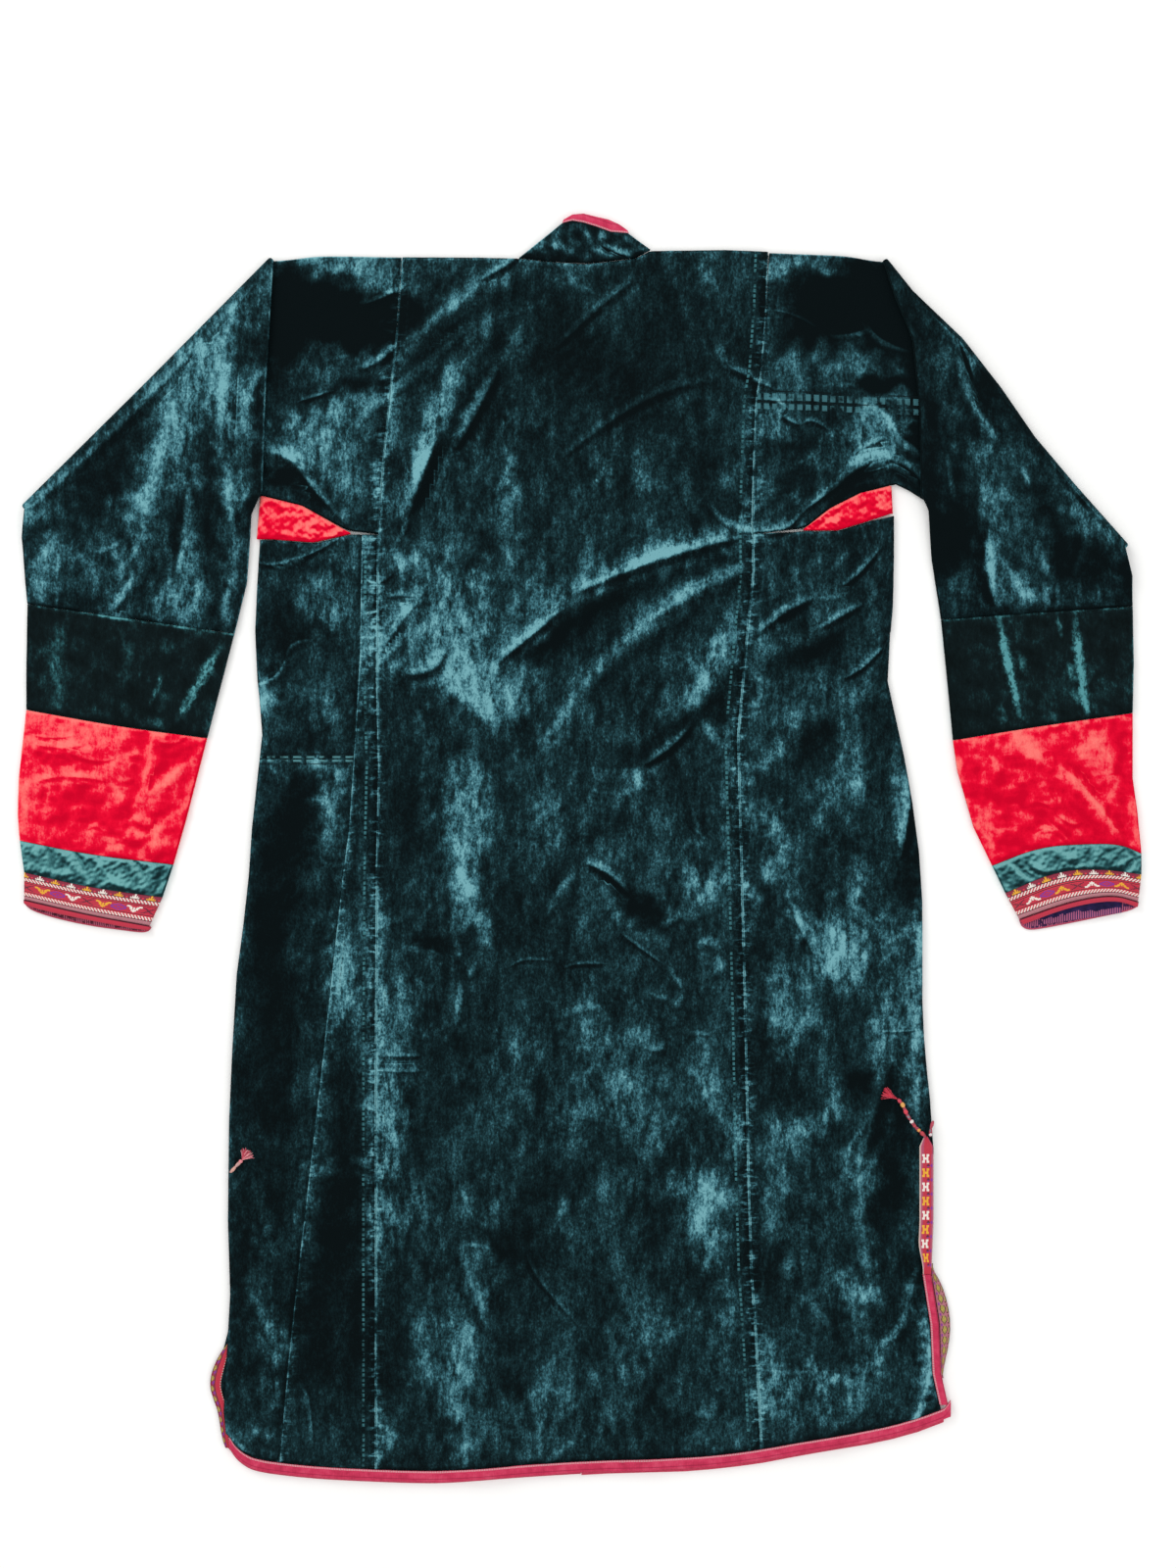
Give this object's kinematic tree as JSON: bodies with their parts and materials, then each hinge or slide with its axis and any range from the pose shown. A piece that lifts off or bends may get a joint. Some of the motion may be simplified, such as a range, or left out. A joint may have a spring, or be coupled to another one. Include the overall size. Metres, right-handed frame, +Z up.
{
  "type": "chapan robe laid flat, back up",
  "caption": "Long crushed-velvet chapan robe laid flat with its back up and sleeves folded down, with woven cuff trims, red gussets and crimson binding.",
  "frame": {"origin": "centre of the garment's footprint on the surface it lies on", "axes": "+Y towards the collar, +X towards the sleeve on the viewer's right seen from above, +Z up from the surface"},
  "size_m": [1.0308, 1.1657, 0.011],
  "materials": {
    "velvet": "crushed velvet with a teal sheen",
    "velvet_band": "plain dark velvet",
    "red_velvet": "plush velvet",
    "teal_velvet": "wrinkled velvet",
    "crimson_binding": "matt cotton binding",
    "woven_trim": "tablet-woven band",
    "cuff_facing": "matt lining",
    "tassel_thread": "beaded cord and silk thread"
  },
  "bodies": {
    "root": {"back_centre": "velvet", "back_gore_left": "velvet", "back_side_left_lower": "velvet", "back_side_left_upper": "velvet", "back_side_right": "velvet", "cuff_left_binding_lower": "crimson_binding", "cuff_left_binding_upper": "crimson_binding", "cuff_right_binding_lower": "crimson_binding", "cuff_right_binding_upper": "crimson_binding", "cuff_right_facing": "cuff_facing", "front_edge_binding_left": "crimson_binding", "front_edge_binding_right": "crimson_binding", "front_left": "velvet", "front_right": "velvet", "front_side_left": "velvet", "front_side_right": "velvet", "gusset_left": "red_velvet", "gusset_right": "red_velvet", "hem_binding_back": "crimson_binding", "hem_binding_front_left": "crimson_binding", "hem_binding_front_right": "crimson_binding", "neck_binding": "crimson_binding", "neck_stand": "velvet", "sleeve_left_cuff_trim": "woven_trim", "sleeve_left_dark_band": "velvet_band", "sleeve_left_red_band": "red_velvet", "sleeve_left_teal_band": "teal_velvet", "sleeve_left_upper": "velvet", "sleeve_right_cuff_trim": "woven_trim", "sleeve_right_dark_band": "velvet_band", "sleeve_right_red_band": "red_velvet", "sleeve_right_teal_band": "teal_velvet", "sleeve_right_upper": "velvet", "slit_binding_back_right": "crimson_binding", "slit_trim_back_right": "woven_trim", "slit_trim_front_left": "woven_trim", "slit_trim_front_right": "woven_trim", "tassel_left": "tassel_thread", "tassel_right": "tassel_thread", "tassel_right_short": "tassel_thread"}
  },
  "joints": []
}
